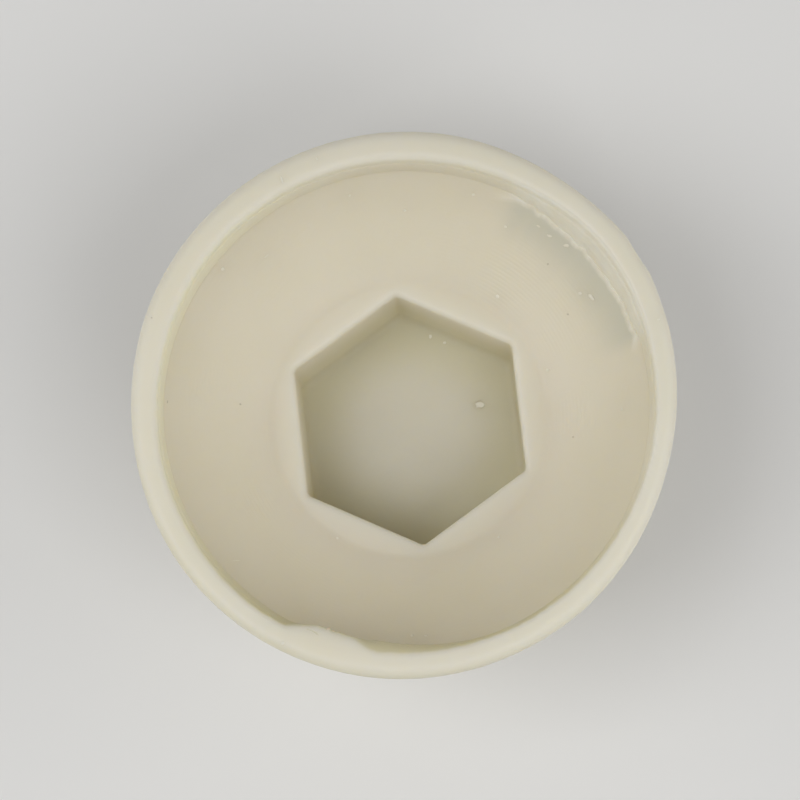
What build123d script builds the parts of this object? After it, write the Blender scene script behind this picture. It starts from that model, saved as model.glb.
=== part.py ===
from build123d import *
import os
from math import cos, pi, radians, sqrt, tan

# Screw cover cap, moulded in one piece. It lies on its crown with its open side up.
# The origin is the middle of the flat that it lies on, and all sizes are in millimetres.

# Rim: the ring that meets the surface round the screw
cap_diameter = 20.0  # across the rim, before its edge is rounded
rim_width = 0.98
rim_outer_round = 0.4
edge_lean = 3.0  # degrees, how far the cap's outer edge leans in below the rim

# Recess: the short drafted wall inside the rim, with a fine ledge near its top
recess_depth = 1.4
recess_lean = 6.0  # degrees
ledge_depth = 0.5
ledge_width = 0.05

# Dish: the hollow face between the recess and the land round the socket
dish_depth = 3.4
dish_bow = 0.31  # how far the dish sinks below its own chord
skirt_wall = 1.3

# Socket: the drafted hexagon that grips the screw's head
head_across_flats = 8.0
head_clearance = 0.15
socket_depth = 4.06
socket_draft = 0.4  # degrees
socket_corner_round = 0.2
socket_lip_chamfer = 0.1
land_width = 0.28

# Boss: the round knob behind the socket
boss_wall = 1.3
boss_draft = 1.5  # degrees
boss_crown_round = 2.0
boss_root_round = 2.4
skirt_edge_round = 0.9
crown_wall = 1.14

# Flash: the lip of spilt plastic on the inner edge of the rim
flash_reach = 0.4
flash_length = 3.5
flash_thickness = 0.35
flash_angle = -112.0  # degrees from +X

# Heights and radii that follow from the sizes above
socket_across_flats = head_across_flats + head_clearance
socket_corner_radius = socket_across_flats / 2 / cos(pi / 6)
land_radius = socket_corner_radius + land_width
boss_radius = socket_corner_radius + boss_wall

socket_floor_z = crown_wall
land_z = socket_floor_z + socket_depth
recess_foot_z = land_z + dish_depth
cap_height = recess_foot_z + recess_depth
ledge_z = cap_height - ledge_depth

cap_radius = cap_diameter / 2
rim_inner_radius = cap_radius - rim_width
ledge_outer_radius = rim_inner_radius - ledge_depth * tan(radians(recess_lean))
ledge_inner_radius = ledge_outer_radius - ledge_width
recess_foot_radius = ledge_inner_radius - (ledge_z - recess_foot_z) * tan(radians(recess_lean))

# The back of the skirt runs level with the dish's chord, one wall away from it
dish_slope = dish_depth / (recess_foot_radius - land_radius)
skirt_drop = skirt_wall * sqrt(1 + dish_slope**2)
skirt_axis_z = land_z - land_radius * dish_slope - skirt_drop
edge_slope = tan(radians(edge_lean))
skirt_outer_radius = (cap_radius - edge_slope * (cap_height - skirt_axis_z)) / (1 - edge_slope * dish_slope)

land_edge = (land_radius, land_z)
recess_foot = (recess_foot_radius, recess_foot_z)
rim_inner = (rim_inner_radius, cap_height)
rim_outer = (cap_radius, cap_height)
skirt_outer = (skirt_outer_radius, skirt_axis_z + skirt_outer_radius * dish_slope)
skirt_inner = (boss_radius, skirt_axis_z + boss_radius * dish_slope)
crown_edge = (boss_radius - skirt_inner[1] * tan(radians(boss_draft)), 0)


def bow_point(start, end):
    """Middle of the line between two section points, sunk square to it by the dish's bow."""
    run = end[0] - start[0]
    rise = end[1] - start[1]
    length = sqrt(run**2 + rise**2)
    middle_radius = (start[0] + end[0]) / 2
    middle_z = (start[1] + end[1]) / 2
    return middle_radius + dish_bow * rise / length, middle_z - dish_bow * run / length


with BuildPart() as cap:
    # The cap without its socket, turned from one half section
    with BuildSketch(Plane.XZ) as section:
        with BuildLine():
            Polyline((0, land_z), land_edge)
            ThreePointArc(land_edge, bow_point(land_edge, recess_foot), recess_foot)
            Polyline(
                recess_foot,
                (ledge_inner_radius, ledge_z),
                (ledge_outer_radius, ledge_z),
                rim_inner,
                rim_outer,
                skirt_outer,
            )
            ThreePointArc(skirt_outer, bow_point(skirt_inner, skirt_outer), skirt_inner)
            Polyline(skirt_inner, crown_edge, (0, 0), (0, land_z))
        make_face()
        for corner, corner_round in (
            (rim_outer, rim_outer_round),
            (skirt_outer, skirt_edge_round),
            (skirt_inner, boss_root_round),
            (crown_edge, boss_crown_round),
        ):
            fillet(section.vertices().sort_by_distance(corner)[0], corner_round)
    revolve(axis=Axis.Z)

    # Hexagonal socket, one corner on +Y, narrower at its floor
    with BuildSketch(Plane.XY.offset(land_z)) as mouth:
        RegularPolygon(socket_across_flats / 2, 6, major_radius=False, rotation=30)
        fillet(mouth.vertices(), socket_corner_round)
    extrude(amount=-socket_depth, taper=socket_draft, mode=Mode.SUBTRACT)
    beside_mouth = ((socket_across_flats / 2 + land_radius) / 2, 0, land_z)
    land = cap.faces().sort_by_distance(beside_mouth)[0]
    chamfer(land.inner_wires()[0].edges(), socket_lip_chamfer)

    # Flash on the rim's inner edge, half of it rooted in the rim
    with BuildSketch(Plane.XY.offset(cap_height - flash_thickness)):
        with PolarLocations(rim_inner_radius, 1, start_angle=flash_angle):
            Ellipse(flash_reach, flash_length / 2)
    extrude(amount=flash_thickness)

cap.part.label = "cap"
os.makedirs("parts", exist_ok=True)
export_step(cap.part, "parts/cap.step")
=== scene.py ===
import math

import bmesh
import bpy
import numpy as np
from bpy.props import FloatProperty, FloatVectorProperty, PointerProperty
from mathutils import Matrix, Vector, noise


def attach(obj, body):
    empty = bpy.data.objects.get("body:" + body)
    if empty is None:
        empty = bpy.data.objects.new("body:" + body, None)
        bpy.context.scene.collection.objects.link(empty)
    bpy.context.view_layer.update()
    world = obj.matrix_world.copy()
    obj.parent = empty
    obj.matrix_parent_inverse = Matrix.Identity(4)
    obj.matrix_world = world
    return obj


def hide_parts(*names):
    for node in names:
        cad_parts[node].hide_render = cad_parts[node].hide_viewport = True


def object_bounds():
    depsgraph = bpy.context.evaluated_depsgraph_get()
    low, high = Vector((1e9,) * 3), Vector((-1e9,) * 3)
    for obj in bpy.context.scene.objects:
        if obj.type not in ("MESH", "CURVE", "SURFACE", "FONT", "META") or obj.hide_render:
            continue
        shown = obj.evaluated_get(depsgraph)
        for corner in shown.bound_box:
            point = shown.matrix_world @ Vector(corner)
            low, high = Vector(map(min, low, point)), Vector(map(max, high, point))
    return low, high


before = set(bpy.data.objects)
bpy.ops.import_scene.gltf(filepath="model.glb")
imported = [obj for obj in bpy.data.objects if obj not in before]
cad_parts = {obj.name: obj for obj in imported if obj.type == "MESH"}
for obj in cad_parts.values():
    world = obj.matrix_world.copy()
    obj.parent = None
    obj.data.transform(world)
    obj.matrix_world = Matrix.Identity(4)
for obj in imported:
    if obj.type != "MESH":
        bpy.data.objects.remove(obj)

bl_info = {
    "name": "Screw cover cap",
    "version": (1, 0, 0),
    "blender": (4, 5, 0),
    "location": "3D View > Sidebar > Cap",
    "description": "Models a moulded screw cover cap with its flash, dust and finish",
    "category": "Mesh",
}

MM = 0.001
NODE = "cap"
BODY = "root"
CAD_LOW, CAD_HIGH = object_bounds()

# Facets round the cap, a multiple of twelve so that the hexagon's sides share them evenly
TURN_STEPS = 540
SIDES = 6
WELD = 0.0005 * MM
SLACK = 0.001 * MM  # lengths that count as none
SMOOTH_ANGLE = 38  # degrees, past which an edge stays sharp

# Fine forms of the moulding
LEDGE_ROUND = 0.04 * MM  # along both edges of the ledge
FOOT_ROUND = 0.1 * MM  # between the recess's wall and the dish
WALL_BULGE = 0.03 * MM  # of the wall between the ledge and the foot
LAND_RUN = 0.04 * MM  # how far the section runs on over the land
FLOOR_INSETS = (0.04 * MM, 0.3 * MM, 1.2 * MM)  # rings in the socket's floor, each from the last

# Clock angles are in degrees, clockwise from the hexagon's corner on +Y, seen from the open side

# Dents in the rim's outline: clock angle, half width in degrees, depth in millimetres
OUTLINE_DENTS = (
    (35, 22, 0.05),
    (106, 42, 0.20),
    (145, 56, 0.14),
    (185, 34, 0.03),
    (272, 34, 0.07),
)
# The swollen stretch of the outline, in the same terms, and the flat that is nicked into it
SWELL_CLOCK = 63
SWELL_HALF_WIDTH = 15
SWELL_HEIGHT = 0.078
NICK_CLOCK = 64.0
NICK_HALF_WIDTH = 4.2
NICK_DEPTH = 2.3  # times the depth of the flat between the nick's ends
OUTLINE_GRAIN = 0.007  # millimetres of fine unevenness
# Shifts of the rim's inner edge: clock angle, half width in degrees, outward shift in millimetres
INNER_EDGE_SHIFTS = (
    (58, 34, 0.15),
    (105, 32, 0.05),
    (222, 26, 0.09),
    (285, 38, -0.08),
    (350, 60, -0.04),
)
# Shifts of the recess's whole wall and of its foot, in the same terms
WALL_SHIFTS = (
    (325, 50, -0.075),
    (15, 70, -0.115),
)
WALL_SHIFT_START = 7.6 * MM  # radius from which the dish goes with the foot
# The flap of flash on the rim's inner edge: clock angle, reach in millimetres
FLAP = (
    (166, 0.0),
    (174, 0.09),
    (181, 0.16),
    (187, 0.23),
    (194, 0.31),
    (200.5, 0.38),
    (205, 0.45),
    (208.4, 0.43),
    (210.2, 0.33),
    (212, 0.20),
    (213.4, 0.08),
    (214.4, 0.0),
)
# Where the flap has come level with the rim, and the degrees over which it does. Before them it
# slopes down from the rim's edge.
FLAP_LEVEL_CLOCK = 200
FLAP_LEVEL_RUN = 8

# The ragged skin of flash over the foot of the recess: clock angle, reach in millimetres
SKIN = (
    (28, 0.0),
    (33, 0.06),
    (38, 0.15),
    (43, 0.14),
    (48, 0.17),
    (54, 0.20),
    (60, 0.19),
    (66, 0.17),
    (72, 0.15),
    (76, 0.19),
    (79, 0.09),
    (83, 0.0),
)
SKIN_START = 8.0 * MM  # radius in the dish from which its rings are drawn up
SKIN_LAST_BELOW = 8.45 * MM  # radius of the last ring that stays below the skin
SKIN_LIP = 0.06 * MM  # how far the skin's edge runs down to the dish
SKIN_SPREAD = 0.12  # how far apart the rings on the skin lie, of their first distance
SKIN_STEP = 0.03 * MM  # how high its edge stands over the dish
PAINTED_SHADOW_REACH = 1.7 * MM  # how far the painted shadow reaches beside the skin

# The tear in the flap: clock angle and radius in millimetres of each end, then its bow and half width
TEAR = ((210.2, 8.90), (206.2, 8.96))
TEAR_BOW = 0.05
TEAR_HALF_WIDTH = 0.035

# Patches of turning marks in the dish: clock angle, radius and reach in millimetres
SWIRLS = (
    (43, 6.6, 1.9),
    (62, 7.3, 1.5),
    (96, 6.4, 1.3),
    (247, 6.6, 1.4),
    (283, 7.7, 1.6),
)

# Heights of the marks that the material draws
TURNING_BUMP = 0.003 * MM
GRAIN_BUMP = 0.004 * MM
SWELLS_BUMP = 0.02 * MM
FOLDS_BUMP = 0.007 * MM
TEAR_BUMP = 0.02 * MM

# Where the marks of the plastic and its painted shade and glow set in or fade out: heights, or radii, from
# and to
DISH_INNER_RADII = (5.0 * MM, 5.6 * MM)
DISH_OUTER_RADII = (8.5 * MM, 8.75 * MM)
SOCKET_HEIGHTS = (2.0 * MM, 5.3 * MM)
SOCKET_RADII = (1.5 * MM, 4.2 * MM)
RECESS_FOOT_HEIGHTS = (8.6 * MM, 8.7 * MM)
RECESS_TOP_HEIGHTS = (9.86 * MM, 9.97 * MM)
RECESS_RADII = (9.1 * MM, 9.3 * MM)
OUTERMOST_RADII = (9.65 * MM, 9.95 * MM)
TEAR_HEIGHTS = (9.5 * MM, 9.8 * MM)

# The clock angle round which shade is painted on the rim's outer edge and the recess's wall
PAINTED_SHADE_CLOCK = 196
# The clock angle round which a glow is painted on the recess's wall, paler and creamier
PAINTED_GLOW_CLOCK = 285

# Pale lint: clock angle, radius, length and width in millimetres, and degrees that it is turned
LINT = (
    (73.1, 2.75, 0.30, 0.24, 20),
    (16.1, 3.79, 0.16, 0.12, 0),
    (25.1, 3.69, 0.13, 0.11, 60),
    (351.6, 8.23, 0.13, 0.11, 0),
    (5.6, 7.55, 0.13, 0.12, 0),
    (23.6, 8.30, 0.14, 0.12, 0),
    (34.1, 7.76, 0.12, 0.11, 30),
    (314.1, 8.49, 0.18, 0.14, 0),
    (324.6, 7.81, 0.26, 0.07, 100),
    (42.1, 5.61, 0.13, 0.12, 0),
    (77.1, 5.43, 0.11, 0.10, 0),
    (149.6, 5.51, 0.11, 0.10, 0),
    (217.6, 5.15, 0.10, 0.09, 0),
    (185.1, 8.24, 0.15, 0.12, 0),
    (181.6, 8.28, 0.12, 0.11, 0),
    (96.1, 7.85, 0.11, 0.10, 0),
    (64.6, 7.94, 0.34, 0.16, 70),
    (61.8, 7.70, 0.14, 0.11, 10),
    (45.6, 8.26, 0.20, 0.11, 40),
    (50.6, 8.38, 0.26, 0.13, 20),
    (41.9, 8.30, 0.14, 0.09, 80),
    (234.9, 8.30, 0.50, 0.04, 12),
    (337.8, 9.30, 0.26, 0.07, 8),
    (346.8, 9.47, 0.12, 0.07, 0),
    (213.0, 9.72, 0.13, 0.10, 30),
    (78.6, 9.60, 0.12, 0.07, 0),
)
# The crumb on the flap's edge, in the same terms
CRUMB = (
    (204.9, 8.60, 0.16, 0.13, 0),
    (203.6, 8.63, 0.09, 0.08, 30),
)
# Dark grit, in the same terms
GRIT = (
    (49.6, 7.55, 0.10, 0.08, 0),
    (64.1, 6.96, 0.11, 0.08, 40),
    (103.6, 6.10, 0.09, 0.07, 0),
    (281.1, 6.26, 0.08, 0.07, 0),
    (278.1, 8.70, 0.12, 0.06, 90),
    (295.2, 9.66, 0.07, 0.05, 0),
)

# How uneven a speck is, as a share of its size, and half its height, as a share of its width
SPECK_LUMPS = 0.45
SPECK_HALF_HEIGHT = 0.11

# Square lamps: name, degrees off the camera's line, degrees clockwise from the picture's top, watts
LAMPS = (
    ("lamp_left_low", 60, 270, 0.150),
    ("lamp_left_high", 30, 270, 0.337),
    ("lamp_right_low", 60, 90, 0.205),
    ("lamp_right_high", 30, 135, 0.307),
)


class CapShape(bpy.types.PropertyGroup):
    """Sizes of the moulding: the solid's, with finer leans and roundings and a slightly deeper bow."""

    rim_radius: FloatProperty(
        name="Rim radius",
        description="Half the cap's width, before the rim's edge is rounded",
        default=10.0 * MM,
        unit="LENGTH",
    )
    rim_width: FloatProperty(
        name="Rim width",
        description="Width of the rim's top",
        default=0.98 * MM,
        unit="LENGTH",
    )
    rim_outer_round: FloatProperty(
        name="Outer rounding",
        description="Radius of the rim's outer edge",
        default=0.45 * MM,
        unit="LENGTH",
    )
    rim_inner_round: FloatProperty(
        name="Inner rounding",
        description="Radius of the rim's inner edge",
        default=0.24 * MM,
        unit="LENGTH",
    )
    rim_crown: FloatProperty(
        name="Rim crown",
        description="Fall of the rim's top towards its outer edge",
        default=0.09 * MM,
        unit="LENGTH",
    )
    edge_lean: FloatProperty(
        name="Edge lean",
        description="How far the outer edge leans in",
        default=math.radians(3),
        subtype="ANGLE",
    )
    recess_depth: FloatProperty(
        name="Recess depth",
        description="Rim to foot of the wall",
        default=1.4 * MM,
        unit="LENGTH",
    )
    recess_lean: FloatProperty(
        name="Recess lean",
        description="Draft of the recess's wall",
        default=math.radians(4.5),
        subtype="ANGLE",
    )
    ledge_depth: FloatProperty(
        name="Ledge depth",
        description="Rim to the ledge",
        default=0.5 * MM,
        unit="LENGTH",
    )
    ledge_width: FloatProperty(
        name="Ledge width",
        description="Width of the ledge",
        default=0.04 * MM,
        unit="LENGTH",
    )
    recess_foot: FloatProperty(
        name="Recess foot",
        description="Radius at the foot of the recess's wall",
        default=8.82 * MM,
        unit="LENGTH",
    )
    dish_depth: FloatProperty(
        name="Dish depth",
        description="Foot of the wall to the land",
        default=3.4 * MM,
        unit="LENGTH",
    )
    dish_bow: FloatProperty(
        name="Dish bow",
        description="Sag of the dish below its chord",
        default=0.36 * MM,
        unit="LENGTH",
    )
    skirt_wall: FloatProperty(
        name="Skirt wall",
        description="Wall behind the dish",
        default=1.3 * MM,
        unit="LENGTH",
    )
    socket_flats: FloatProperty(
        name="Across flats",
        description="Width of the socket's mouth",
        default=8.15 * MM,
        unit="LENGTH",
    )
    socket_depth: FloatProperty(
        name="Socket depth",
        description="Land to floor",
        default=4.06 * MM,
        unit="LENGTH",
    )
    socket_draft: FloatProperty(
        name="Socket draft",
        description="Lean of the socket's walls",
        default=math.radians(0.4),
        subtype="ANGLE",
    )
    socket_corner: FloatProperty(
        name="Socket corners",
        description="Radius of the hexagon's corners",
        default=0.26 * MM,
        unit="LENGTH",
    )
    socket_lip: FloatProperty(
        name="Socket lip",
        description="Rounding of the mouth",
        default=0.2 * MM,
        unit="LENGTH",
    )
    socket_foot: FloatProperty(
        name="Socket foot",
        description="Rounding between the socket's walls and its floor",
        default=0.3 * MM,
        unit="LENGTH",
    )
    land_width: FloatProperty(
        name="Land width",
        description="Flat between the hexagon's corners and the dish",
        default=0.28 * MM,
        unit="LENGTH",
    )
    land_spread: FloatProperty(
        name="Land spread",
        description="How far the land's soft edge runs out",
        default=0.16 * MM,
        unit="LENGTH",
    )
    land_blend: FloatProperty(
        name="Land blend",
        description="Radius between the land and the dish",
        default=0.75 * MM,
        unit="LENGTH",
    )
    boss_wall: FloatProperty(
        name="Boss wall",
        description="Wall round the socket",
        default=1.3 * MM,
        unit="LENGTH",
    )
    boss_draft: FloatProperty(
        name="Boss draft",
        description="Lean of the boss's side",
        default=math.radians(1.5),
        subtype="ANGLE",
    )
    boss_crown_round: FloatProperty(
        name="Crown rounding",
        description="Radius of the crown's edge",
        default=2.0 * MM,
        unit="LENGTH",
    )
    boss_root_round: FloatProperty(
        name="Root rounding",
        description="Radius between boss and skirt",
        default=2.4 * MM,
        unit="LENGTH",
    )
    skirt_edge_round: FloatProperty(
        name="Skirt edge",
        description="Radius between skirt and outer edge",
        default=0.9 * MM,
        unit="LENGTH",
    )


class CapFinish(bpy.types.PropertyGroup):
    """Colours and gloss of the plastic and of what lies on it, and of the shade, shadow, glow and light
    painted on it.
    """

    ivory: FloatVectorProperty(
        name="Ivory",
        description="The plastic in full light",
        default=(0.758, 0.715, 0.605),
        subtype="COLOR",
        min=0,
        max=1,
    )
    # Darker, yellower tone: random mottle of the plastic, and painted shade in the socket, the tear and at
    # the edges
    olive_and_painted_shade: FloatVectorProperty(
        name="Olive",
        description="The plastic in its corners",
        default=(0.66, 0.62, 0.43),
        subtype="COLOR",
        min=0,
        max=1,
    )
    # Pale torn and scuffed plastic, also painted light on the skin of flash
    chalk_and_painted_light: FloatVectorProperty(
        name="Chalk",
        description="Torn and scuffed plastic",
        default=(0.82, 0.80, 0.72),
        subtype="COLOR",
        min=0,
        max=1,
    )
    lint: FloatVectorProperty(
        name="Lint",
        description="Dust on the cap",
        default=(0.77, 0.74, 0.64),
        subtype="COLOR",
        min=0,
        max=1,
    )
    grit: FloatVectorProperty(
        name="Grit",
        description="Dark specks on the cap",
        default=(0.54, 0.50, 0.41),
        subtype="COLOR",
        min=0,
        max=1,
    )
    # Painted shadow on the dish beside the flash's edge
    dusk: FloatVectorProperty(
        name="Dusk",
        description="The plastic beside the flash",
        default=(0.57, 0.58, 0.50),
        subtype="COLOR",
        min=0,
        max=1,
    )
    # Painted glow on the recess's wall, as if light came through the rim
    painted_glow: FloatVectorProperty(
        name="Cream",
        description="The recess's wall where it is thin",
        default=(0.84, 0.80, 0.64),
        subtype="COLOR",
        min=0,
        max=1,
    )
    crumb: FloatVectorProperty(
        name="Crumb",
        description="Tan crumb on the flash",
        default=(0.76, 0.65, 0.49),
        subtype="COLOR",
        min=0,
        max=1,
    )
    roughness: FloatProperty(
        name="Roughness",
        description="Of the moulded skin",
        default=0.48,
        min=0,
        max=1,
    )
    glow: FloatProperty(
        name="Glow",
        description="How far light spreads in the plastic",
        default=2.0 * MM,
        unit="LENGTH",
    )


class StudioSettings(bpy.types.PropertyGroup):
    """The floor, the lamps and the camera. Clock angles are the cap's own."""

    floor: FloatVectorProperty(
        name="Floor",
        description="Pale floor",
        default=(0.81, 0.805, 0.79),
        subtype="COLOR",
        min=0,
        max=1,
    )
    lamp_share: FloatProperty(
        name="Lamp share",
        description="Of each lamp's listed power",
        default=1.0,
        min=0,
    )
    lamp_size: FloatProperty(
        name="Lamp size",
        description="Side of each square lamp",
        default=200 * MM,
        unit="LENGTH",
    )
    lamp_distance: FloatProperty(
        name="Lamp distance",
        description="Rim to lamp",
        default=340 * MM,
        unit="LENGTH",
    )
    fill: FloatProperty(
        name="Fill",
        description="Brightness of the room",
        default=0.25,
        min=0,
    )
    lean: FloatProperty(
        name="Camera lean",
        description="Camera off the cap's axis",
        default=math.radians(8.32),
        subtype="ANGLE",
    )
    lean_clock: FloatProperty(
        name="Lean clock",
        description="Clock angle that the camera leans to",
        default=math.radians(170.1),
        subtype="ANGLE",
    )
    up_clock: FloatProperty(
        name="Up clock",
        description="Clock angle at the picture's top",
        default=math.radians(6.56),
        subtype="ANGLE",
    )
    distance: FloatProperty(
        name="Distance",
        description="Camera to rim",
        default=150 * MM,
        unit="LENGTH",
    )
    lens: FloatProperty(
        name="Lens",
        description="Focal length in millimetres on a 36 mm sensor",
        default=187.8,
    )
    aim_right: FloatProperty(
        name="Aim right",
        description="How far the cap's middle lies to the right",
        default=0.158 * MM,
        unit="LENGTH",
    )
    aim_up: FloatProperty(
        name="Aim up",
        description="How far the cap's middle lies above the picture's",
        default=-0.055 * MM,
        unit="LENGTH",
    )


def unit_direction(clock):
    """Flat direction at a clock angle in radians."""
    return Vector((math.sin(clock), math.cos(clock), 0))


def run(start, end, count, bow=0.0):
    """Points from start to end along a line, or along an arc that sags below it."""
    start, end = Vector(start), Vector(end)
    chord = end - start
    sag = Vector((chord.y, -chord.x)).normalized() * bow * (1 if chord.x > 0 else -1)
    points = []
    for i in range(count + 1):
        share = i / count
        points.append(start + chord * share + sag * (4 * share * (1 - share)))
    return points


def cut_back(points, distance):
    """The run without its last stretch, and the direction in which it ends."""
    points = list(points)
    while (points[-1] - points[-2]).length < distance:
        distance -= (points[-1] - points[-2]).length
        points.pop()
    heading = (points[-1] - points[-2]).normalized()
    points[-1] = points[-1] - heading * distance
    return points, heading


def rounded(runs, rounds):
    """Runs joined end to end, with each corner between them rounded to its radius."""
    whole = list(runs[0])
    for following, radius in zip(runs[1:], rounds):
        count = 4 if radius < FOOT_ROUND else 9
        arriving = (whole[-1] - whole[-2]).normalized()
        leaving = (following[1] - following[0]).normalized()
        turn = arriving.angle(leaving)
        reach = radius * math.tan(turn / 2)
        if reach < SLACK:
            whole += following[1:]
            continue
        before, heading_in = cut_back(whole, reach)
        after, heading_out = cut_back(following[::-1], reach)
        after.reverse()
        handle = 4 / 3 * math.tan(turn / 4) * radius
        a, d = before[-1], after[0]
        b, c = a + heading_in * handle, d + heading_out * handle
        for i in range(1, count):
            t = i / count
            near = a * (1 - t) ** 3 + b * (3 * t * (1 - t) ** 2)
            before.append(near + c * (3 * t * t * (1 - t)) + d * t ** 3)
        whole = before + after
    return whole


def half_section(shape):
    """Radius and height along the cap's skin, from the middle of the crown round to the land.

    Each run has as many points as its curve needs, and each rounding joins two runs.
    """
    corner_radius = shape.socket_flats / 2 / math.cos(math.pi / SIDES)
    land_radius = corner_radius + shape.land_width
    boss_radius = corner_radius + shape.boss_wall
    height = CAD_HIGH.z
    foot_z = height - shape.recess_depth
    land_z = foot_z - shape.dish_depth
    ledge_z = height - shape.ledge_depth

    inner_radius = shape.rim_radius - shape.rim_width
    lean = math.tan(shape.recess_lean)
    ledge_outer = inner_radius - shape.ledge_depth * lean
    ledge_inner = ledge_outer - shape.ledge_width
    foot_radius = shape.recess_foot

    slope = shape.dish_depth / (foot_radius - land_radius)
    drop = shape.skirt_wall * math.sqrt(1 + slope ** 2)
    skirt_axis_z = land_z - land_radius * slope - drop
    edge_slope = math.tan(shape.edge_lean)
    skirt_radius = shape.rim_radius - edge_slope * (height - skirt_axis_z)
    skirt_radius /= 1 - edge_slope * slope
    skirt_outer = (skirt_radius, skirt_axis_z + skirt_radius * slope)
    skirt_inner = (boss_radius, skirt_axis_z + boss_radius * slope)
    crown_edge = (boss_radius - skirt_inner[1] * math.tan(shape.boss_draft), 0)

    rim_outer = (shape.rim_radius, height - shape.rim_crown)
    rim_inner = (inner_radius, height)
    ledge = (ledge_inner, ledge_z - shape.ledge_width)
    foot = (foot_radius, foot_z)
    land = (land_radius + shape.land_spread, land_z)
    return rounded(
        (
            run((0, 0), crown_edge, 6),
            run(crown_edge, skirt_inner, 5),
            run(skirt_inner, skirt_outer, 12, shape.dish_bow),
            run(skirt_outer, rim_outer, 6),
            run(rim_outer, rim_inner, 8, -shape.rim_crown / 4),
            run(rim_inner, (ledge_outer, ledge_z), 6),
            run((ledge_outer, ledge_z), ledge, 2),
            run(ledge, foot, 8, -WALL_BULGE),
            run(foot, land, 46, shape.dish_bow),
            run(land, (land_radius - LAND_RUN, land_z), 3),
        ),
        (
            shape.boss_crown_round,
            shape.boss_root_round,
            shape.skirt_edge_round,
            shape.rim_outer_round,
            shape.rim_inner_round,
            LEDGE_ROUND,
            LEDGE_ROUND,
            FOOT_ROUND,
            shape.land_blend,
        ),
    )


def select_where(mesh_object, test, kind="verts"):
    """Select the vertices or edges of the mesh in edit mode that pass a test, and no others."""
    bpy.ops.mesh.select_all(action="DESELECT")
    edit = bmesh.from_edit_mesh(mesh_object.data)
    for item in getattr(edit, kind):
        if test(item):
            item.select_set(True)
    edit.select_flush_mode()
    bmesh.update_edit_mesh(mesh_object.data)


def select_mode(*kinds):
    """Set which kinds of item can be selected."""
    bpy.context.tool_settings.mesh_select_mode = tuple(kind in kinds for kind in ("VERT", "EDGE", "FACE"))


def turn_body(shape):
    """Turn the half section round the axis, and leave the new object in edit mode."""
    outline = half_section(shape)
    bpy.ops.object.select_all(action="DESELECT")
    bpy.ops.mesh.primitive_plane_add(size=1 * MM, location=(0, 0, 0))
    body = bpy.context.object
    bpy.ops.object.mode_set(mode="EDIT")
    select_mode("VERT")
    bpy.ops.mesh.select_all(action="SELECT")
    bpy.ops.mesh.merge(type="CENTER")
    for here, there in zip(outline, outline[1:]):
        step = there - here
        bpy.ops.mesh.extrude_region_move(TRANSFORM_OT_translate={"value": (step.x, 0, step.y)})
    bpy.ops.mesh.select_all(action="SELECT")
    bpy.ops.mesh.spin(steps=TURN_STEPS, angle=2 * math.pi, center=(0, 0, 0), axis=(0, 0, 1))
    bpy.ops.mesh.select_all(action="SELECT")
    bpy.ops.mesh.remove_doubles(threshold=WELD)
    return body


def scale_flat(factor):
    """Scale what is selected towards the axis, and leave its heights."""
    bpy.ops.transform.resize(value=(factor, factor, 1), center_override=(0, 0, 0))


def extrude_to(at, there, rise):
    """Extrude the selected ring from one radius to another and up or down, and return the new radius."""
    bpy.ops.mesh.extrude_region_move()
    scale_flat(there / at)
    bpy.ops.transform.translate(value=(0, 0, rise))
    return there


def add_hexagon(body, mouth, height, shape):
    """Add the mouth's hexagon, with rounded corners and as many edges as the land has."""
    corner_steps = 8
    side_steps = TURN_STEPS // SIDES - corner_steps
    bpy.ops.mesh.select_all(action="DESELECT")
    bpy.ops.mesh.primitive_circle_add(
        vertices=SIDES,
        radius=mouth / math.cos(math.pi / SIDES),
        fill_type="NOTHING",
        location=(0, 0, height),
    )
    reach = shape.socket_corner * math.tan(math.pi / SIDES)
    bpy.ops.mesh.bevel(offset=reach, offset_type="OFFSET", segments=corner_steps, affect="VERTICES")
    long_side = mouth * 0.8  # only the hexagon's sides are longer
    select_mode("EDGE")
    select_where(body, lambda e: e.is_wire and e.calc_length() > long_side, "edges")
    bpy.ops.mesh.subdivide(number_cuts=side_steps - 1)


def bridge_land(body, mouth, land_z, shape):
    """Join the land to the hexagon, and flatten what lies between them."""
    land_radius = shape.socket_flats / 2 / math.cos(math.pi / SIDES) + shape.land_width + shape.land_spread
    # The hexagon waits below the land, since two flat loops with one middle can bridge back to front
    wait = shape.land_width
    add_hexagon(body, mouth, land_z - wait, shape)
    select_where(body, lambda e: e.is_wire or e.is_boundary, "edges")
    bpy.ops.mesh.bridge_edge_loops(number_cuts=2, interpolation="LINEAR", smoothness=0)
    select_mode("VERT")
    select_where(body, lambda v: abs(land_z - wait - v.co.z) < 0.99 * wait and v.co.xy.length < land_radius)
    bpy.ops.transform.resize(value=(1, 1, 0), center_override=(0, 0, land_z))
    select_mode("EDGE")


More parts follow.
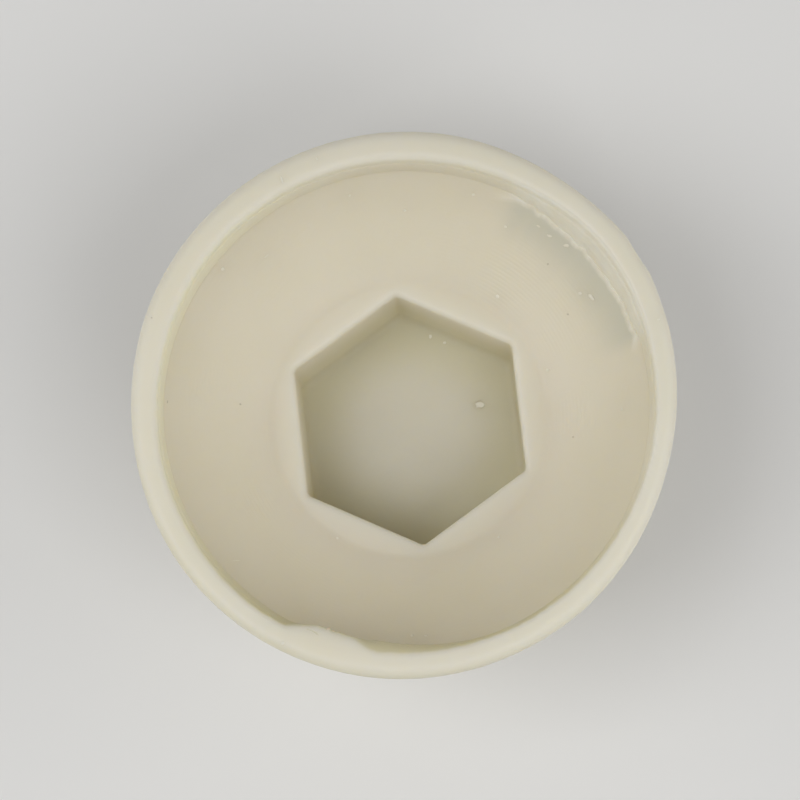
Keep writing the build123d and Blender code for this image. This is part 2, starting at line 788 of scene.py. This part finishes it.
def sink_socket(body, shape):
    """Draw the hexagon down from the land to the socket's floor, with a rounded lip and foot."""
    half_flats = shape.socket_flats / 2
    mouth = half_flats + shape.socket_lip
    bridge_land(body, mouth, CAD_HIGH.z - shape.recess_depth - shape.dish_depth, shape)

    select_where(body, lambda e: e.is_boundary, "edges")
    at = mouth
    lip_steps, wall_steps, foot_steps = 4, 8, 5
    for i in range(1, lip_steps + 1):
        turned, before = (math.pi / 2 * k / lip_steps for k in (i, i - 1))
        there = half_flats + shape.socket_lip * (1 - math.sin(turned))
        at = extrude_to(at, there, shape.socket_lip * (math.cos(turned) - math.cos(before)))
    wall_step = (shape.socket_depth - shape.socket_lip - shape.socket_foot) / wall_steps
    for i in range(wall_steps):
        at = extrude_to(at, at - wall_step * math.tan(shape.socket_draft), -wall_step)
    foot_top = at
    for i in range(1, foot_steps + 1):
        turned, before = (math.pi / 2 * k / foot_steps for k in (i, i - 1))
        there = foot_top - shape.socket_foot * (1 - math.cos(turned))
        at = extrude_to(at, there, -shape.socket_foot * (math.sin(turned) - math.sin(before)))
    for inset in FLOOR_INSETS:
        at = extrude_to(at, at - inset, 0)
    bpy.ops.mesh.edge_face_add()


def close_up():
    """Merge what lies together, turn every face outwards and leave edit mode."""
    bpy.ops.mesh.select_all(action="SELECT")
    bpy.ops.mesh.remove_doubles(threshold=WELD)
    bpy.ops.mesh.normals_make_consistent(inside=False)
    bpy.ops.object.mode_set(mode="OBJECT")
    bpy.ops.object.transform_apply(location=True, rotation=True, scale=True)


def clock_distance(clock, centre):
    """Degrees between clock angles, 0 to 180."""
    return np.abs((clock - centre + 180) % 360 - 180)


def hump(clock, centre, half_width):
    """A smooth rise from 0 to 1 and back about a clock angle."""
    away = clock_distance(clock, centre) / half_width
    return np.where(away < 1, 0.5 + 0.5 * np.cos(np.pi * np.minimum(away, 1)), 0)


def ramp(value, low, high):
    """A smooth step from 0 at low to 1 at high."""
    share = np.clip((value - low) / (high - low), 0, 1)
    return share * share * (3 - 2 * share)


def reach_at(clock, table):
    """Reach in metres at each clock angle, read from a short table."""
    angles, reaches = np.array(table).T
    return np.interp(clock, angles, reaches, left=0, right=0) * MM


def ragged(clock, scale, seed):
    """Noise round the cap, about -1 to 1, the same at each clock angle all the way down."""
    angles = np.arange(0, 360, 0.25)
    values = [
        noise.noise(Vector((math.sin(math.radians(a)) * scale, math.cos(math.radians(a)) * scale, seed)))
        for a in angles
    ]
    return np.interp(clock, angles, values, period=360)


def open_skin(shape):
    """Radii and heights along the dish, from the land to the foot of the recess."""
    foot_z = CAD_HIGH.z - shape.recess_depth
    points = [(p.x, p.y) for p in half_section(shape) if p.y < foot_z + SLACK]
    outermost = next(i for i in range(len(points) - 1, 0, -1) if points[i - 1][0] < points[i][0])
    return np.array(sorted(points[outermost:])).T


def dent_outline(radius, clock, moved, shape):
    """Press the rim's outline out of round, and nick its swollen stretch flat."""
    inner_radius = shape.rim_radius - shape.rim_width
    outer = ramp(radius, inner_radius - 0.2 * MM, inner_radius + 0.6 * MM)
    for centre, half_width, depth in OUTLINE_DENTS:
        moved -= outer * hump(clock, centre, half_width) * depth * MM
    moved += outer * hump(clock, SWELL_CLOCK, SWELL_HALF_WIDTH) * SWELL_HEIGHT * MM
    off = np.radians(clock - NICK_CLOCK)
    chord = shape.rim_radius * (1 - math.cos(math.radians(NICK_HALF_WIDTH)) / np.cos(off))
    nicked = np.abs(off) < math.radians(NICK_HALF_WIDTH)
    moved -= np.where(nicked, outer * chord * NICK_DEPTH, 0)
    moved += outer * (ragged(clock, 40, 1.0) - 1) * OUTLINE_GRAIN * MM


def pull_inner_edge(radius, height, clock, moved, shape):
    """Shift the rim's inner edge and the recess's wall, and pull the flap of flash from the edge."""
    inner_radius = shape.rim_radius - shape.rim_width
    top = CAD_HIGH.z
    foot_z = top - shape.recess_depth
    wall = (radius < inner_radius + 0.6 * MM) & (radius > shape.recess_foot - 0.02 * MM) & (height > foot_z)
    upwards = ramp(height, foot_z, top - 0.1 * MM)
    inwards = 1 - ramp(radius, inner_radius - 0.05 * MM, inner_radius + 0.5 * MM)
    shift = ragged(clock, 26, 4.0) * 0.03 + ragged(clock, 70, 9.0) * 0.012
    for centre, half_width, outward in INNER_EDGE_SHIFTS:
        shift = shift + hump(clock, centre, half_width) * outward
    moved += np.where(wall, upwards * inwards * shift * MM, 0)

    dish_radius, dish_height = open_skin(shape)
    in_dish = (height <= foot_z) & (radius < shape.recess_foot + 0.1 * MM)
    in_dish &= height > np.interp(radius, dish_radius, dish_height) - 0.3 * MM
    dish_hold = ramp(radius, WALL_SHIFT_START, shape.recess_foot)
    hold = np.where(wall, inwards, np.where(in_dish, dish_hold, 0))
    for centre, half_width, outward in WALL_SHIFTS:
        moved += hold * hump(clock, centre, half_width) * outward * MM

    reach = reach_at(clock, FLAP) * (1 + 0.10 * ragged(clock, 90, 2.0))
    level = 0.3 + 0.7 * ramp(height, foot_z + 0.3 * MM, top - 0.25 * MM)
    sloping = ramp(height, foot_z, foot_z + 0.7 * MM) * (1 - ramp(height, top - 0.55 * MM, top - 0.02 * MM))
    share = ramp(clock, FLAP_LEVEL_CLOCK - FLAP_LEVEL_RUN, FLAP_LEVEL_CLOCK)
    grip = level * share + sloping * (1 - share)
    moved -= np.where(wall, reach * grip * inwards, 0)


def spread_skin(radius, height, clock, moved, lifted, shape):
    """Web the foot of the recess with torn flash, say how much of each place it covers, and where shadow is
    painted on the dish beside it.

    The rings of the dish next to the foot gather at the skin's torn edge: those inside last_below run
    up to it from below, and those outside lie on top of it. The wall then leans down to meet them.
    """
    foot_z = CAD_HIGH.z - shape.recess_depth
    foot = shape.recess_foot
    start, last_below = SKIN_START, SKIN_LAST_BELOW
    dish_radius, dish_height = open_skin(shape)
    reach = reach_at(clock, SKIN)
    torn = 0.7 * ragged(clock, 30, 3.0) + 0.25 * ragged(clock, 75, 8.0)
    cover = ramp(reach, 0, 0.12 * MM)
    edge = foot - reach * (1 + 0.8 * torn)
    edge_height = np.interp(edge, dish_radius, dish_height)
    step = SKIN_STEP * (1 + 0.9 * ragged(clock, 50, 6.0))

    open_side = height > np.interp(radius, dish_radius, dish_height) - 0.1 * MM
    on_dish = (radius > start) & (radius < foot + 0.02 * MM) & (height <= foot_z + 0.02 * MM) & open_side
    below = on_dish & (radius <= last_below)
    above = on_dish & (radius > last_below)
    mapped = np.where(below, start + (radius - start) * (edge - start) / (last_below - start), edge)
    top = edge + SKIN_LIP + (radius - last_below) * SKIN_SPREAD
    target = radius + (np.where(below, mapped, top) - radius) * cover
    surface = np.interp(target, dish_radius, dish_height)
    moved += np.where(on_dish, target - radius, 0)
    rise = np.where(above, (edge_height + step - surface) * cover, 0)
    lifted += np.where(on_dish, surface - height + rise, 0)

    wall = (radius < shape.rim_radius - shape.rim_width + 0.05 * MM) & (radius > foot - 0.02 * MM)
    wall &= (height > foot_z) & ~on_dish
    down = 1 - np.clip((height - foot_z) / shape.recess_depth, 0, 1)
    lean = foot - (edge + SKIN_LIP + (foot - last_below) * SKIN_SPREAD)
    moved -= np.where(wall, cover * lean * down ** 1.2, 0)
    drop = foot_z - (edge_height + step)
    lifted -= np.where(wall, cover * drop * down ** 1.6, 0)

    band = 1 - ramp(radius, last_below + 0.12 * MM, last_below + 0.3 * MM)
    scuff = np.where(above, cover * band * np.clip(2.2 * ragged(clock, 50, 7.0), 0, 1), 0)
    # Painted shadow on the dish just inside the skin's torn edge
    inside = (radius <= last_below) & open_side
    reached = np.where(below, target, radius)
    dusk = np.where(inside, cover * ramp(reached, edge - PAINTED_SHADOW_REACH, edge - 0.05 * MM), 0)
    return scuff, np.where(above | wall, cover, 0), dusk


def wear(body, shape):
    """Press the outline out of round, pull the flash, and note where the material shows it and where shadow
    is painted beside it.
    """
    mesh = body.data
    count = len(mesh.vertices)
    places = np.empty(count * 3)
    mesh.vertices.foreach_get("co", places)
    places = places.reshape(-1, 3)
    radius = np.hypot(places[:, 0], places[:, 1])
    height = places[:, 2].copy()
    clock = np.degrees(np.arctan2(places[:, 0], places[:, 1])) % 360
    moved, lifted = radius.copy(), height.copy()

    dent_outline(radius, clock, moved, shape)
    pull_inner_edge(radius, height, clock, moved, shape)
    scuff, skin, dusk = spread_skin(radius, height, clock, moved, lifted, shape)

    scale = np.where(radius > 0, moved / np.maximum(radius, 1e-9), 1)
    places[:, 0] *= scale
    places[:, 1] *= scale
    places[:, 2] = lifted
    mesh.vertices.foreach_set("co", places.ravel())
    for name, values in (("scuff", scuff), ("skin", skin), ("dusk", dusk)):
        layer = mesh.attributes.new(name, "FLOAT", "POINT")
        layer.data.foreach_set("value", values)
    mesh.update()


class Signal:
    """A value on its way through a material's nodes, with plain arithmetic."""

    def __init__(self, board, socket):
        self.board = board
        self.socket = socket

    def __add__(self, other):
        return self.board.maths("ADD", self, other)

    __radd__ = __add__

    def __mul__(self, other):
        return self.board.maths("MULTIPLY", self, other)

    __rmul__ = __mul__

    def __sub__(self, other):
        return self.board.maths("SUBTRACT", self, other)

    def __rsub__(self, other):
        return self.board.maths("SUBTRACT", other, self)

    def __truediv__(self, other):
        return self.board.maths("DIVIDE", self, other)

    def __rtruediv__(self, other):
        return self.board.maths("DIVIDE", other, self)

    def root(self):
        return self.board.maths("SQRT", self)

    def size(self):
        return self.board.maths("ABSOLUTE", self)

    def smooth(self, low, high):
        """A smooth step from 0 at low to 1 at high."""
        settings = {"interpolation_type": "SMOOTHSTEP"}
        inputs = {"Value": self, "From Min": low, "From Max": high}
        return self.board.node("ShaderNodeMapRange", settings, inputs).out()

    def wave(self):
        return self.board.maths("SINE", self)


class Step:
    """One node, whose outputs are read as signals."""

    def __init__(self, board, node):
        self.board = board
        self.node = node

    def out(self, name=0):
        return Signal(self.board, self.node.outputs[name])


class Board:
    """The nodes of one material."""

    def __init__(self, name):
        self.material = bpy.data.materials.new(name)
        self.material.use_nodes = True
        self.tree = self.material.node_tree
        self.tree.nodes.clear()

    def node(self, kind, settings=None, inputs=None):
        """Make a node of a kind, with its settings set first and then its sockets' values or links."""
        node = self.tree.nodes.new(kind)
        for name, value in (settings or {}).items():
            setattr(node, name, value)
        pairs = inputs.items() if isinstance(inputs, dict) else enumerate(inputs or ())
        for name, value in pairs:
            if isinstance(value, Signal):
                self.tree.links.new(value.socket, node.inputs[name])
            else:
                node.inputs[name].default_value = value
        return Step(self, node)

    def maths(self, operation, *values):
        return self.node("ShaderNodeMath", {"operation": operation}, values).out()

    def place(self):
        return self.node("ShaderNodeTexCoord").out("Object")

    def attribute(self, name):
        return self.node("ShaderNodeAttribute", {"attribute_name": name}).out("Fac")

    def noise(self, scale, detail):
        inputs = {"Vector": self.place(), "Scale": scale, "Detail": detail}
        return self.node("ShaderNodeTexNoise", None, inputs).out(0)

    def mix(self, share, first, second):
        inputs = {"Factor": share, 6: first, 7: second}
        return self.node("ShaderNodeMix", {"data_type": "RGBA"}, inputs).out(2)

    def bump(self, height, distance, normal=None):
        inputs = {"Height": height, "Distance": distance, "Strength": 1.0}
        if normal:
            inputs["Normal"] = normal
        return self.node("ShaderNodeBump", None, inputs).out(0)

    def finish(self, inputs):
        shader = self.node("ShaderNodeBsdfPrincipled", None, inputs).out(0)
        self.node("ShaderNodeOutputMaterial", None, {"Surface": shader})
        return self.material


def solid_colour(colour):
    """A colour's three shares as a socket takes them."""
    return (*colour, 1.0)


def hairline(x, y):
    """One along the tear in the flap, and nothing beside it."""
    ends = [unit_direction(math.radians(clock)) * radius * MM for clock, radius in TEAR]
    along = ends[1] - ends[0]
    length = along.length
    along.normalize()
    dx, dy = x - ends[0].x, y - ends[0].y
    share = (dx * along.x + dy * along.y) / length
    off = dy * along.x - dx * along.y
    sag = share * (1 - share) * (4 * TEAR_BOW * MM)
    away = (off - sag).size()
    on_line = 1 - away.smooth(0, TEAR_HALF_WIDTH * MM)
    return on_line * share.smooth(0, 0.25) * (1 - share.smooth(0.75, 1))


def towards(x, y, radius, clock):
    """One at a clock angle, nothing at a right angle to it and less across from it."""
    side = unit_direction(math.radians(clock))
    return (x * side.x + y * side.y) / radius


def turning_marks(board, x, y, radius):
    """Rings in the dish, uneven and stronger in patches."""
    pitch = 0.13 * MM
    wander = board.noise(700, 2.0) * 1.6
    rings = (radius * (2 * math.pi / pitch) + wander).wave()
    patches = board.noise(330, 2.0).smooth(0.45, 0.62) * 0.35
    for clock, distance, reach in SWIRLS:
        middle = unit_direction(math.radians(clock)) * distance * MM
        across, upwards = x - middle.x, y - middle.y
        away = (across * across + upwards * upwards).root()
        patches = patches + (1 - away.smooth(0, reach * MM))
    in_dish = radius.smooth(*DISH_INNER_RADII) * (1 - radius.smooth(*DISH_OUTER_RADII))
    return rings * patches * in_dish


def skin_folds(board, z):
    """Level folds in the skin of flash."""
    pitch = 0.42 * MM
    return ((z + board.noise(500, 2.0) * 0.12 * MM) * (2 * math.pi / pitch)).wave()


def plastic_colour(board, finish, axes, radius, tear):
    """Ivory with random mottle; painted shade darker and yellower in the socket, in the tear and at the
    edges on one side; a painted glow on the recess's wall on another.
    """
    x, y, z = axes
    mottle = board.noise(260, 3.0).smooth(0.3, 0.7)
    # Painted shade in the socket, strongest low down and near its walls
    painted_socket_shade = (1 - z.smooth(*SOCKET_HEIGHTS)) * radius.smooth(*SOCKET_RADII)
    in_recess = z.smooth(*RECESS_FOOT_HEIGHTS) - z.smooth(*RECESS_TOP_HEIGHTS)
    in_recess = in_recess * (1 - radius.smooth(*RECESS_RADII))
    outermost = radius.smooth(*OUTERMOST_RADII)
    # Painted shade: the recess's wall and the rim's outer rounding darker and yellower on the side towards
    # the clock angle set above
    beside = towards(x, y, radius, PAINTED_SHADE_CLOCK).smooth(-0.1, 0.9)
    painted_edge_shade = in_recess * beside * 0.8 + outermost * beside * 0.4
    # Random mottle is the plastic's own tone; the rest is painted shade: in the socket, in the tear's
    # crease and at the edges
    shade = mottle * 0.1 + painted_socket_shade * 0.65 + tear * 0.7 + painted_edge_shade
    colour = board.mix(shade, solid_colour(finish.ivory), solid_colour(finish.olive_and_painted_shade))
    # Painted glow: the recess's wall paler and creamier on one side, as if lit through the rim
    painted_glow_share = towards(x, y, radius, PAINTED_GLOW_CLOCK).smooth(0.3, 1.0) * in_recess * 0.7
    return board.mix(painted_glow_share, colour, solid_colour(finish.painted_glow))


def plastic_material(finish):
    """Ivory plastic with fine turning marks in the dish, a soft glow within, pale torn edges that are
    partly painted light, and painted shade, shadow and glow.
    """
    board = Board("ivory_plastic")
    split = board.node("ShaderNodeSeparateXYZ", None, (board.place(),))
    x, y, z = split.out(0), split.out(1), split.out(2)
    radius = (x * x + y * y).root()
    skin, scuff, dusk = (board.attribute(name) for name in ("skin", "scuff", "dusk"))
    tear = hairline(x, y) * z.smooth(*TEAR_HEIGHTS)
    grain = board.noise(5200, 4.0)

    normal = board.bump(turning_marks(board, x, y, radius), TURNING_BUMP)
    normal = board.bump(grain, GRAIN_BUMP, normal)
    normal = board.bump(board.noise(420, 2.0), SWELLS_BUMP, normal)
    normal = board.bump(skin_folds(board, z) * skin, FOLDS_BUMP, normal)
    normal = board.bump(1 - tear, TEAR_BUMP, normal)

    colour = plastic_colour(board, finish, (x, y, z), radius, tear)
    # Painted shadow on the dish beside the flash
    colour = board.mix(dusk * 0.55, colour, solid_colour(finish.dusk))
    # The skin of flash is paler partly as torn plastic and partly as painted light on its upturned face
    chalk_and_light_share = board.noise(900, 2.0).smooth(0.25, 0.75) * 0.5 + 0.35
    colour = board.mix(scuff * 0.6 + skin * chalk_and_light_share, colour, solid_colour(finish.chalk_and_painted_light))
    return board.finish({
        "Base Color": colour,
        "Roughness": finish.roughness + grain * 0.08 + scuff * 0.3,
        "Normal": normal,
        "IOR": 1.5,
        "Subsurface Weight": 1.0,
        "Subsurface Radius": (1.0, 0.92, 0.72),
        "Subsurface Scale": finish.glow,
    })


def speck_material(name, colour):
    """Matt stuff with a little grain."""
    board = Board(name)
    tint = board.noise(3000, 2.0)
    paler = solid_colour([min(1, c * 1.15) for c in colour])
    shade = board.mix(tint, solid_colour(colour), paler)
    return board.finish({"Base Color": shade, "Roughness": 0.8})


def floor_material(studio):
    """Matt paper, a little uneven."""
    board = Board("floor_paper")
    tint = board.noise(30, 3.0)
    colour = solid_colour(studio.floor)
    paler = solid_colour([c * 1.02 for c in studio.floor])
    return board.finish({"Base Color": board.mix(tint, colour, paler), "Roughness": 0.9})


def lying(body, clock, radius, turn):
    """Place and turn of a speck that lies on the skin, its length towards a clock angle."""
    above = unit_direction(math.radians(clock)) * radius + Vector((0, 0, 2 * CAD_HIGH.z))
    hit, place, normal, _ = body.ray_cast(above, Vector((0, 0, -1)))
    if not hit:
        raise RuntimeError("a speck misses the cap")
    heading = unit_direction(math.radians(clock + turn))
    along = (heading - normal * heading.dot(normal)).normalized()
    turned = Matrix((along.cross(normal), along, normal)).transposed()
    return Matrix.Translation(place) @ turned.to_4x4()


def scatter(name, table, body, material):
    """Strew small flattened lumps over the open side, and join them into one object."""
    bpy.ops.object.select_all(action="DESELECT")
    lumps = []
    for number, (clock, radius, length, width, turn) in enumerate(table):
        bpy.ops.mesh.primitive_ico_sphere_add(subdivisions=3, radius=1)
        lump = bpy.context.object
        for vertex in lump.data.vertices:
            vertex.co *= 1 + SPECK_LUMPS * noise.noise(vertex.co * 1.7 + Vector((number * 3.1, 0, 0)))
        size = Matrix.Diagonal((width * MM / 2, length * MM / 2, width * MM * SPECK_HALF_HEIGHT, 1))
        lump.matrix_world = lying(body, clock, radius * MM, turn) @ size
        lumps.append(lump)
    for lump in lumps:
        lump.select_set(True)
    bpy.context.view_layer.objects.active = lumps[0]
    bpy.ops.object.join()
    strewn = bpy.context.object
    bpy.ops.object.transform_apply(location=True, rotation=True, scale=True)
    strewn.name = name
    strewn.data.materials.append(material)
    bpy.ops.object.shade_smooth()
    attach(strewn, BODY)


class CAP_OT_mould(bpy.types.Operator):
    """Model the cap in one piece, with its flash and wear"""

    bl_idname = "cap.mould"
    bl_label = "Mould the cap"

    def execute(self, context):
        shape = context.scene.cap_shape
        body = turn_body(shape)
        sink_socket(body, shape)
        close_up()
        wear(body, shape)
        body.name = "cap_moulding"
        bpy.ops.object.shade_smooth_by_angle(angle=math.radians(SMOOTH_ANGLE))
        body.data.materials.append(plastic_material(context.scene.cap_finish))
        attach(body, BODY)
        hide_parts(NODE)
        return {"FINISHED"}


class CAP_OT_dust(bpy.types.Operator):
    """Scatter the lint, the grit and the crumb over the open side"""

    bl_idname = "cap.dust"
    bl_label = "Scatter the dust"

    def execute(self, context):
        body = bpy.data.objects["cap_moulding"]
        finish = context.scene.cap_finish
        scatter("lint", LINT, body, speck_material("lint", finish.lint))
        scatter("grit", GRIT, body, speck_material("grit", finish.grit))
        scatter("crumb", CRUMB, body, speck_material("crumb", finish.crumb))
        return {"FINISHED"}


def lay_floor(studio):
    """Lay a floor of pale paper under the cap."""
    bpy.ops.object.select_all(action="DESELECT")
    bpy.ops.mesh.primitive_plane_add(size=1.2, location=(0, 0, 0))
    floor = bpy.context.object
    floor.name = "floor"
    floor.data.materials.append(floor_material(studio))


def view_axes(studio):
    """The picture's right and up, and the way from the rim to the camera."""
    up = unit_direction(studio.up_clock)
    right = unit_direction(studio.up_clock + math.pi / 2)
    axis = Vector((0, 0, 1))
    toward = axis * math.cos(studio.lean) + unit_direction(studio.lean_clock) * math.sin(studio.lean)
    tip = axis.rotation_difference(toward)
    return tip @ right, tip @ up, toward


def set_camera(context, studio, rim_middle):
    """Set the camera over the rim, with the cap's middle a little off the picture's."""
    right, up, toward = view_axes(studio)
    data = bpy.data.cameras.new("camera")
    camera = bpy.data.objects.new("camera", data)
    context.collection.objects.link(camera)
    spot = rim_middle + toward * studio.distance - right * studio.aim_right - up * studio.aim_up
    camera.matrix_world = Matrix.Translation(spot) @ Matrix((right, up, toward)).transposed().to_4x4()
    data.sensor_width = 36
    data.lens = studio.lens
    data.clip_start = 5 * MM
    data.clip_end = 5
    context.scene.camera = camera


def hang_lamps(context, studio, rim_middle):
    """Hang the square lamps round the camera's line, each facing the rim."""
    right, up, toward = view_axes(studio)
    for name, lean, heading, watts in LAMPS:
        data = bpy.data.lights.new(name, "AREA")
        data.shape = "SQUARE"
        data.size = studio.lamp_size
        data.energy = studio.lamp_share * watts
        lamp = bpy.data.objects.new(name, data)
        context.collection.objects.link(lamp)
        lean, heading = math.radians(lean), math.radians(heading)
        side = right * math.sin(heading) + up * math.cos(heading)
        aim = toward * math.cos(lean) + side * math.sin(lean)
        lamp.location = rim_middle + aim * studio.lamp_distance
        lamp.rotation_mode = "QUATERNION"
        lamp.rotation_quaternion = (-aim).to_track_quat("-Z", "Y")


def fill_room(scene, studio):
    """Light the room evenly and show its colours as they are."""
    world = bpy.data.worlds.new("room")
    world.use_nodes = True
    room = world.node_tree.nodes["Background"]
    room.inputs["Color"].default_value = (1, 1, 1, 1)
    room.inputs["Strength"].default_value = studio.fill
    scene.world = world
    scene.view_settings.view_transform = "Standard"


class CAP_OT_studio(bpy.types.Operator):
    """Lay the floor, hang the lamps and set the camera over the cap"""

    bl_idname = "cap.studio"
    bl_label = "Set the studio"

    def execute(self, context):
        studio = context.scene.cap_studio
        rim_middle = Vector((0, 0, CAD_HIGH.z))
        lay_floor(studio)
        set_camera(context, studio, rim_middle)
        hang_lamps(context, studio, rim_middle)
        fill_room(context.scene, studio)
        return {"FINISHED"}


class CAP_PT_panel(bpy.types.Panel):
    """Lists the steps that make the cap"""

    bl_idname = "CAP_PT_panel"
    bl_label = "Screw cover cap"
    bl_space_type = "VIEW_3D"
    bl_region_type = "UI"
    bl_category = "Cap"

    def draw(self, context):
        for step in OPERATORS:
            self.layout.operator(step.bl_idname)
        for group in (context.scene.cap_shape, context.scene.cap_finish, context.scene.cap_studio):
            box = self.layout.box()
            for name in group.__annotations__:
                box.prop(group, name)


OPERATORS = (CAP_OT_mould, CAP_OT_dust, CAP_OT_studio)
GROUPS = (CapShape, CapFinish, StudioSettings)


def register():
    for entry in GROUPS + OPERATORS + (CAP_PT_panel,):
        bpy.utils.register_class(entry)
    bpy.types.Scene.cap_shape = PointerProperty(type=CapShape)
    bpy.types.Scene.cap_finish = PointerProperty(type=CapFinish)
    bpy.types.Scene.cap_studio = PointerProperty(type=StudioSettings)


def unregister():
    del bpy.types.Scene.cap_studio
    del bpy.types.Scene.cap_finish
    del bpy.types.Scene.cap_shape
    for entry in (CAP_PT_panel,) + OPERATORS + GROUPS:
        bpy.utils.unregister_class(entry)


def main():
    register()
    bpy.ops.cap.mould()
    bpy.ops.cap.dust()
    bpy.ops.cap.studio()


if __name__ == "__main__":
    main()
